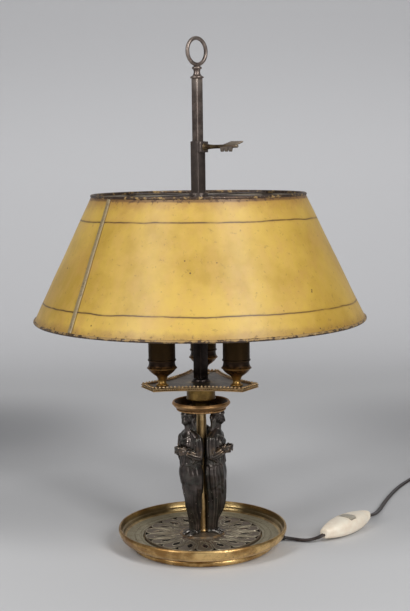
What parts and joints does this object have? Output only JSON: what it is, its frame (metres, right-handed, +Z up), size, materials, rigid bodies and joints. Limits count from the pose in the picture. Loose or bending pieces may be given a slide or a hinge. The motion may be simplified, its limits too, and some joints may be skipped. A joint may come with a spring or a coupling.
{
  "type": "bouillotte lamp",
  "caption": "Table lamp with a pierced brass tray, three standing figures round a column, candle cups, a tapered metal shade that slides on a square rod, and a cord switch.",
  "frame": {"origin": "centre of the foot ring at the table surface", "axes": "+Z up along the rod, -Y towards the front, +X towards the side where the cord leaves"},
  "size_m": [0.5644, 0.4933, 0.58],
  "materials": {
    "gilt_brass": "golden lacquered brass, worn",
    "dull_brass": "grey-green brown patina",
    "column_brass": "olive-brown polished brass",
    "plate_bronze": "brown bronze with gilt border",
    "cup_bronze": "dark brown bronze",
    "bright_brass": "plain brass",
    "dark_bronze": "black-brown patinated bronze",
    "holder_plastic": "moulded thermoplastic",
    "candle_ivory": "ivory card tube with a waxed finish",
    "bulb_glass": "clear blown glass",
    "bulb_brass": "drawn brass",
    "steel_bronzed": "brown bronzed steel, worn",
    "dark_iron": "near-black iron, worn at the corners",
    "yellow_tole": "yellow ochre oil paint, aged",
    "rim_wire": "iron wire",
    "lead_insulation": "brown insulation",
    "bushing_rubber": "black rubber",
    "cord_brown": "dark brown twin flex",
    "switch_ivory": "ivory moulded plastic",
    "rocker_grey": "grey-green moulded plastic",
    "small_steel": "zinc-plated steel",
    "plug_brown": "dark brown moulded plastic"
  },
  "bodies": {
    "lamp": {"base_nut": "gilt_brass", "base_tray": "gilt_brass", "branch_leads": "lead_insulation", "bulb_cap_back": "bulb_brass", "bulb_cap_left": "bulb_brass", "bulb_cap_right": "bulb_brass", "bulb_glass_back": "bulb_glass", "bulb_glass_left": "bulb_glass", "bulb_glass_right": "bulb_glass", "candle_cup_back": "cup_bronze", "candle_cup_left": "cup_bronze", "candle_cup_right": "cup_bronze", "candle_sleeve_back": "candle_ivory", "candle_sleeve_left": "candle_ivory", "candle_sleeve_right": "candle_ivory", "capital_dish": "column_brass", "column_tube": "column_brass", "cord_bushing": "bushing_rubber", "cup_nipples": "bright_brass", "figure_back": "dark_bronze", "figure_left": "dark_bronze", "figure_nuts": "gilt_brass", "figure_plinth": "dull_brass", "figure_right": "dark_bronze", "flex_coil": "cord_brown", "flex_to_coil": "cord_brown", "flex_to_plug": "cord_brown", "flex_to_switch": "cord_brown", "inner_lead": "lead_insulation", "lampholder_back": "holder_plastic", "lampholder_left": "holder_plastic", "lampholder_right": "holder_plastic", "neck_collar": "column_brass", "pierced_rosette": "dull_brass", "plate_cover": "plate_bronze", "plug_body": "plug_brown", "plug_pins": "bright_brass", "ring_finial": "steel_bronzed", "rocker_pin": "small_steel", "stem_foot": "steel_bronzed", "stem_rod": "steel_bronzed", "switch_contacts": "bright_brass", "switch_lower": "switch_ivory", "switch_screws": "small_steel", "switch_upper": "switch_ivory", "triform_plate": "plate_bronze"},
    "shade": {"slide_sleeve": "dark_iron", "key_boss": "dark_iron", "shade_cone": "yellow_tole", "shade_top_wire": "rim_wire", "shade_bottom_wire": "rim_wire", "spider_collar": "dark_iron", "spider_rivets": "dark_iron", "spider_arm_1": "dark_iron", "spider_arm_2": "dark_iron", "spider_arm_3": "dark_iron", "spider_arm_4": "dark_iron"},
    "key": {"key_screw": "steel_bronzed", "key_fletching": "steel_bronzed"},
    "rocker": {"switch_rocker": "rocker_grey"}
  },
  "joints": [
    {"name": "shade_slide", "type": "slide", "parent": "lamp", "child": "shade", "axis": [0, 0, 1], "range_m": [0, 0.068]},
    {"name": "key_turn", "type": "hinge", "parent": "shade", "child": "key", "pos_m": [0, 0, 0.4585], "axis": [0.7071, -0.7071, 0], "range_deg": [0, 180]},
    {"name": "switch_rock", "type": "hinge", "parent": "lamp", "child": "rocker", "pos_m": [0.1711, 0.03545, 0.0152], "axis": [0.6428, 0.766, 0], "range_deg": [0, 16]}
  ]
}
